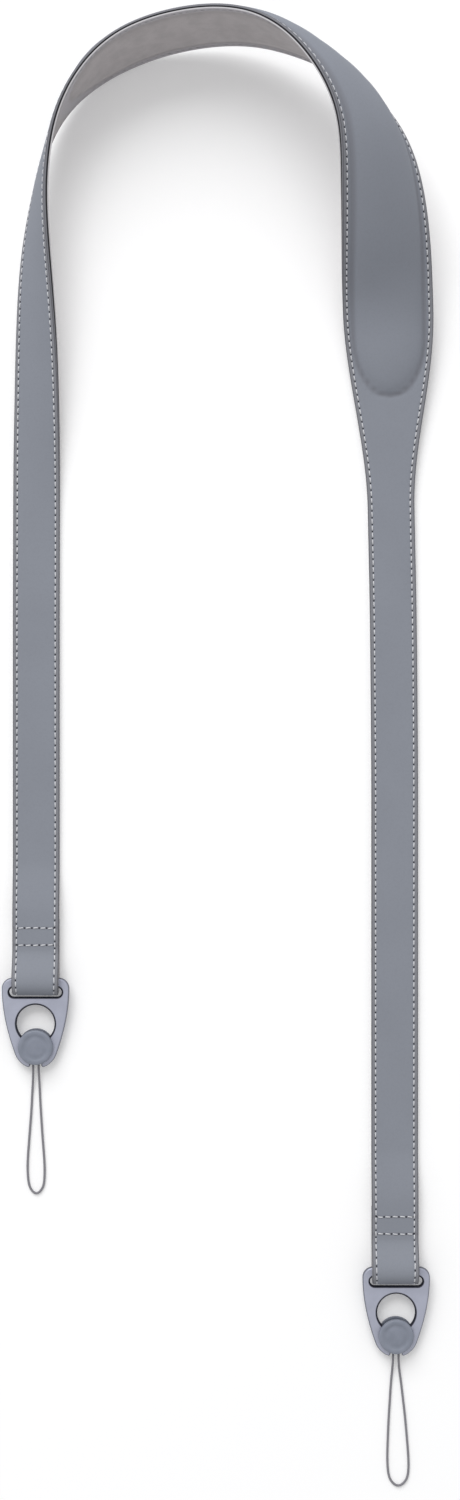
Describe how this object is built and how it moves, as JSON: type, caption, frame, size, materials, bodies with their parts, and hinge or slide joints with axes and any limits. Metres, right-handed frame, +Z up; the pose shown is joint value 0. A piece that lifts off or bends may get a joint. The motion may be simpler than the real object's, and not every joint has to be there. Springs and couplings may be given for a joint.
{
  "type": "camera strap",
  "caption": "Padded leather shoulder strap for a camera, folded round slotted metal plates whose keyholes hold sliding quick-release buttons with cord loops.",
  "frame": {"origin": "on the table, under the middle of the strap's box without its cord loops", "axes": "+Z up from the table, +Y along both legs towards the padded bend, +X from the left leg to the right"},
  "size_m": [0.1844, 0.6267, 0.0525],
  "materials": {
    "leather": "smooth grey-blue calf leather with a faint grain and painted edges",
    "suede": "brushed microfibre suede, warm grey",
    "foam": "closed-cell foam",
    "thread": "waxed polyester sewing thread, light grey",
    "plate": "bead-blasted and anodised, lavender grey",
    "button": "satin moulded nylon, grey-blue",
    "cord": "tight braided round cord, dark grey"
  },
  "bodies": {
    "strap": {"face_leather": "leather", "lining": "suede", "shoulder_pad_foam": "foam", "inner_edge_stitching": "thread", "outer_edge_stitching": "thread", "left_near_cross_stitching": "thread", "left_far_cross_stitching": "thread", "right_near_cross_stitching": "thread", "right_far_cross_stitching": "thread"},
    "left_connector": {"left_connector_plate": "plate"},
    "right_connector": {"right_connector_plate": "plate"},
    "left_button": {"left_button_cap": "button", "left_button_base": "button", "left_cord_knot": "cord", "left_cord_loop": "cord"},
    "right_button": {"right_button_cap": "button", "right_button_base": "button", "right_cord_knot": "cord", "right_cord_loop": "cord"}
  },
  "joints": [
    {"name": "left_connector_swing", "type": "hinge", "parent": "strap", "child": "left_connector", "pos_m": [-0.07775, -0.12486, 0.0049], "axis": [-1, 0, 0], "range_deg": [-100, 120]},
    {"name": "right_connector_swing", "type": "hinge", "parent": "strap", "child": "right_connector", "pos_m": [0.07655, -0.24846, 0.0049], "axis": [-1, 0, 0], "range_deg": [-100, 120]},
    {"name": "left_button_slide", "type": "slide", "parent": "left_connector", "child": "left_button", "axis": [0, 0.9987, 0.0501], "range_m": [0, 0.01]},
    {"name": "right_button_slide", "type": "slide", "parent": "right_connector", "child": "right_button", "axis": [0, 0.9987, 0.0501], "range_m": [0, 0.01]}
  ]
}
